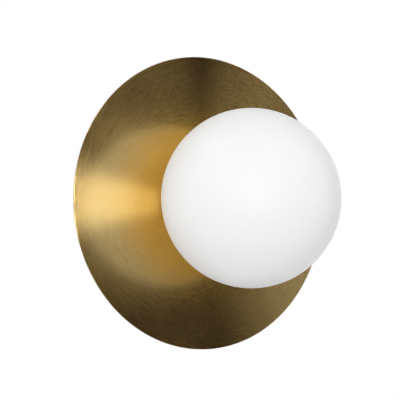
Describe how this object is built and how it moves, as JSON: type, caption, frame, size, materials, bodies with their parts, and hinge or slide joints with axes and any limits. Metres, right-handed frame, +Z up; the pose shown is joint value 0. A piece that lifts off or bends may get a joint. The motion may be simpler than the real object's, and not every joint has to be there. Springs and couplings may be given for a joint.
{
  "type": "globe wall light",
  "caption": "Wall light with an opal glass globe standing on the middle of a flat round brass disc, hung from a strap behind a round pan.",
  "frame": {"origin": "on the wall plane, on the lamp's axis, midway between the wall strap's two screw slots", "axes": "-Y points out of the wall into the room, along the axis of the disc and the globe; +Z is up; +X is to the right, seen from the room"},
  "size_m": [0.35, 0.2304, 0.35],
  "materials": {
    "satin_brass": "satin, brushed in circles and lacquered",
    "opal_glass": "satin opal white",
    "turned_brass": "bare turned brass",
    "zinc_steel": "bright zinc plated",
    "tinned_metal": "satin, tin or nickel plated",
    "green_screw": "green passivated",
    "collar_aluminium": "turned",
    "white_nylon": "matt moulded",
    "holder_plastic": "semi-gloss moulded",
    "white_ceramic": "unglazed",
    "silicone": "matt",
    "brown_insulation": "smooth extruded",
    "blue_insulation": "smooth extruded",
    "green_insulation": "smooth extruded, with a yellow stripe",
    "bulb_opal": "satin opal",
    "bulb_white": "semi-gloss moulded",
    "led_yellow": "clear over yellow",
    "circuit_green": "solder mask",
    "black_insulator": "black glass"
  },
  "bodies": {
    "fixture": {"wall_strap": "zinc_steel", "strap_back_nut": "turned_brass", "strap_lock_washer": "zinc_steel", "strap_front_nut": "turned_brass", "centre_rod": "turned_brass", "earth_screw": "green_screw", "earth_washer": "turned_brass", "earth_ring_tag": "tinned_metal", "back_pan": "satin_brass", "terminal_block": "white_nylon", "terminal_tubes": "turned_brass", "terminal_screws": "turned_brass", "block_fixing_screws": "zinc_steel", "live_wire": "brown_insulation", "neutral_wire": "blue_insulation", "earth_wire": "green_insulation", "disc": "satin_brass", "globe_cup": "satin_brass", "cup_washer": "zinc_steel", "cup_nut": "turned_brass", "globe_gasket": "silicone", "holder_cap": "holder_plastic", "holder_grub_screw": "zinc_steel", "holder_insert": "white_ceramic", "holder_terminals": "turned_brass", "holder_terminal_screws": "turned_brass", "contact_rivets": "turned_brass", "centre_contact": "turned_brass", "screw_shell": "turned_brass", "holder_sleeve": "holder_plastic"},
    "globe": {"globe": "opal_glass", "globe_collar": "collar_aluminium"},
    "bulb": {"bulb_diffuser": "bulb_opal", "bulb_housing": "bulb_white", "bulb_led_board": "collar_aluminium", "bulb_leds": "led_yellow", "bulb_driver": "circuit_green", "bulb_screw_cap": "tinned_metal", "bulb_cap_insulator": "black_insulator", "bulb_tip_contact": "tinned_metal"}
  },
  "joints": [
    {"name": "globe_slide", "type": "slide", "parent": "fixture", "child": "globe", "axis": [0, -1, 0], "range_m": [0, 0.15]},
    {"name": "bulb_slide", "type": "slide", "parent": "fixture", "child": "bulb", "axis": [0, -1, 0], "range_m": [0, 0.03]}
  ]
}
